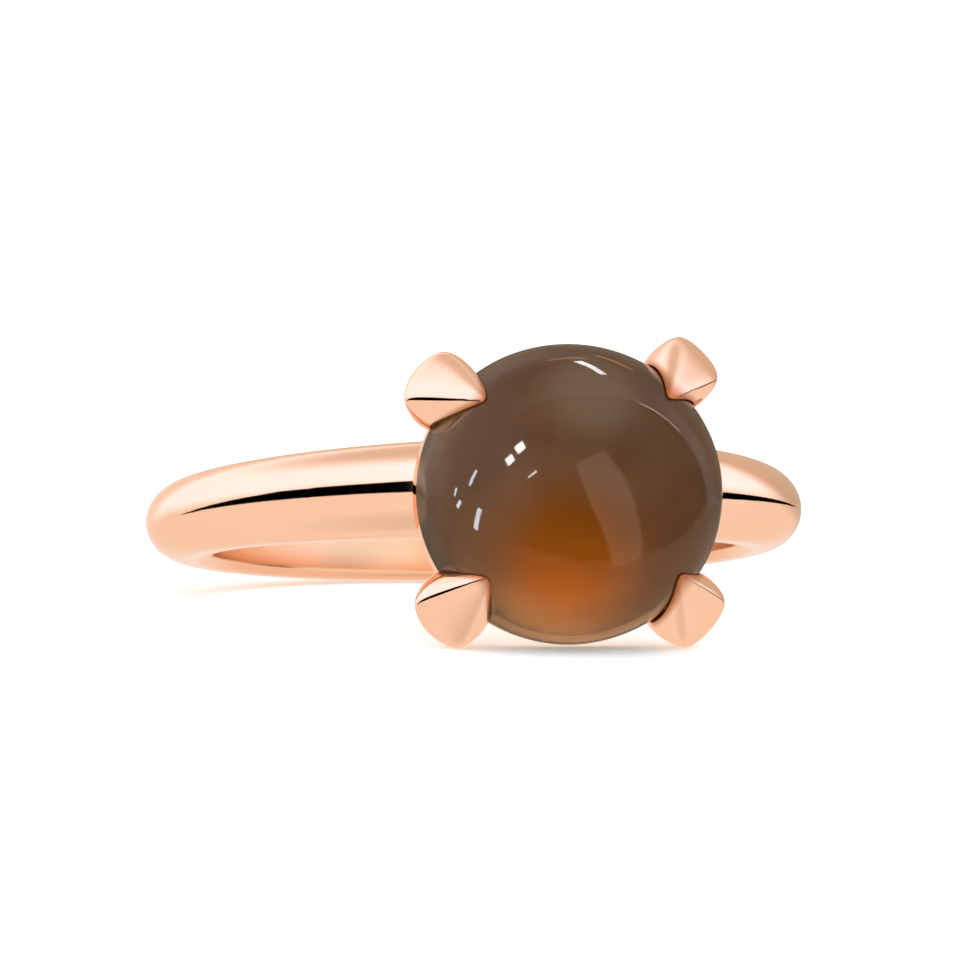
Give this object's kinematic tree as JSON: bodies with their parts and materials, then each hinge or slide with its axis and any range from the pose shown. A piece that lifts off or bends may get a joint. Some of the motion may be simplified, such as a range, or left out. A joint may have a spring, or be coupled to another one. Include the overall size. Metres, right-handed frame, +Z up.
{
  "type": "finger ring with a round cabochon in a claw setting",
  "caption": "Polished rose gold ring with a high round smoky quartz cabochon, held in a bowl seat by thorn-shaped claws; lies on its side.",
  "frame": {"origin": "middle of the underside's level, where the ring lies: halfway along its length and width, at the height of the surface it rests on", "axes": "+Z up, the stone faces -Y, +X to the right when the stone is looked at from the front; the finger hole's axis leans 10.7 degrees from +Z towards +Y"},
  "size_m": [0.0218, 0.0268, 0.0095],
  "materials": {
    "rose_gold": "mirror polish",
    "smoky_quartz": "polished, slightly milky"
  },
  "bodies": {
    "root": {"shank_and_setting": "rose_gold", "cabochon": "smoky_quartz"}
  },
  "joints": []
}
